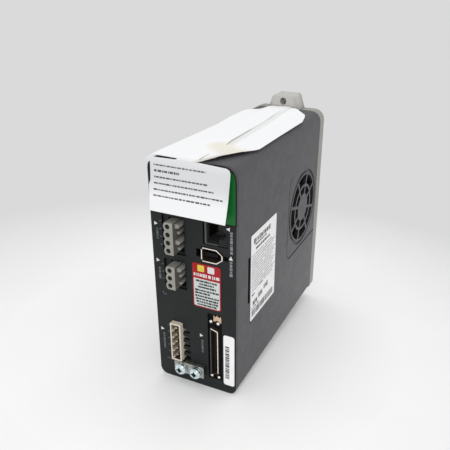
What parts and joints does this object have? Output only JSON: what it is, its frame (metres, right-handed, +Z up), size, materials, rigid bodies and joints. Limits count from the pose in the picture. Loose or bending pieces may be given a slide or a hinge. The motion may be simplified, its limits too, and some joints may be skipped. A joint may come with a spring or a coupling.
{
  "type": "servo drive",
  "caption": "Narrow upright servo drive with pluggable terminal blocks, sockets, keypad, side fan, rear mounting tabs and a protective paper sheet on top.",
  "frame": {"origin": "on the rear mounting plane, on the width's centre line, level with the underside of the body", "axes": "+X to the right seen from the front, +Y towards the cabinet's back plate, +Z up"},
  "size_m": [0.0553, 0.1606, 0.171],
  "materials": {
    "housing_grey": "matt, finely eroded moulding texture",
    "panel_grey": "matt, finely eroded moulding texture",
    "bezel_green": "gloss, smooth moulding",
    "smoked_window": "gloss, smoked clear plastic",
    "key_grey": "satin",
    "dark_component": "satin",
    "circuit_board": "satin solder resist",
    "cast_aluminium": "as cast, slightly rough",
    "plug_grey": "satin",
    "socket_black": "satin",
    "jack_grey": "satin",
    "socket_cream": "satin",
    "tinned_metal": "bright tin plate",
    "gold_plate": "bright gold plate",
    "brass": "bright",
    "blue_zinc": "bright blue-passivated zinc",
    "fan_black": "satin",
    "lead_red": "satin",
    "copper_wire": "lacquered copper wire",
    "label_white": "satin film",
    "warning_red": "satin film",
    "paper_white": "thin matt paper"
  },
  "bodies": {
    "chassis": {"housing": "housing_grey", "fan_grille": "housing_grey", "front_panel": "panel_grey", "hmi_bezel": "bezel_green", "display_window": "smoked_window", "display_module": "dark_component", "hmi_board": "circuit_board", "heatsink": "cast_aluminium", "ground_bracket": "cast_aluminium", "braking_resistor": "cast_aluminium", "mains_header": "socket_black", "brake_header": "socket_black", "rj45_jack": "jack_grey", "encoder_socket_insert": "socket_black", "io_connector_body": "socket_black", "io_connector_tongue": "jack_grey", "motor_socket": "socket_cream", "mains_pins": "tinned_metal", "brake_pins": "tinned_metal", "motor_pins": "tinned_metal", "encoder_socket_shell": "tinned_metal", "io_connector_shell": "tinned_metal", "rj45_contacts": "gold_plate", "io_latch_clip": "brass", "ground_screw_left": "blue_zinc", "ground_screw_right": "blue_zinc", "ground_washer_left": "blue_zinc", "ground_washer_right": "blue_zinc", "case_screw_lower_left": "blue_zinc", "case_screw_lower_right": "blue_zinc", "case_screw_upper_left": "blue_zinc", "case_screw_upper_right": "blue_zinc", "fan_screw_lower": "blue_zinc", "fan_screw_upper": "blue_zinc", "board_screw_lower": "blue_zinc", "board_screw_upper": "blue_zinc", "fan_frame": "fan_black", "fan_lead": "lead_red", "fan_connector": "label_white", "ribbon_cable": "label_white", "power_board": "circuit_board", "control_board": "circuit_board", "capacitor_lower": "dark_component", "capacitor_upper": "dark_component", "transformer": "dark_component", "inrush_relay": "dark_component", "power_module": "dark_component", "line_choke": "copper_wire", "front_label": "label_white", "side_label": "label_white", "warning_label": "warning_red", "protective_paper": "paper_white"},
    "fan_rotor_body": {"fan_rotor": "fan_black"},
    "mains_plug_body": {"mains_plug": "plug_grey"},
    "brake_plug_body": {"brake_plug": "plug_grey"},
    "key_mode_body": {"key_mode": "key_grey"},
    "key_up_body": {"key_up": "key_grey"},
    "key_down_body": {"key_down": "key_grey"},
    "key_set_body": {"key_set": "key_grey"}
  },
  "joints": [
    {"name": "fan_spin", "type": "hinge", "parent": "chassis", "child": "fan_rotor_body", "pos_m": [0.0166, -0.0392, 0.0858], "axis": [1, 0, 0], "continuous": true},
    {"name": "mains_plug_pull", "type": "slide", "parent": "chassis", "child": "mains_plug_body", "axis": [0, -1, 0], "range_m": [0, 0.014]},
    {"name": "brake_plug_pull", "type": "slide", "parent": "chassis", "child": "brake_plug_body", "axis": [0, -1, 0], "range_m": [0, 0.014]},
    {"name": "key_mode_press", "type": "slide", "parent": "chassis", "child": "key_mode_body", "axis": [0, 1, 0], "range_m": [0, 0.0006], "stiffness_N_per_m": 600},
    {"name": "key_up_press", "type": "slide", "parent": "chassis", "child": "key_up_body", "axis": [0, 1, 0], "range_m": [0, 0.0006], "stiffness_N_per_m": 600},
    {"name": "key_down_press", "type": "slide", "parent": "chassis", "child": "key_down_body", "axis": [0, 1, 0], "range_m": [0, 0.0006], "stiffness_N_per_m": 600},
    {"name": "key_set_press", "type": "slide", "parent": "chassis", "child": "key_set_body", "axis": [0, 1, 0], "range_m": [0, 0.0006], "stiffness_N_per_m": 600}
  ]
}
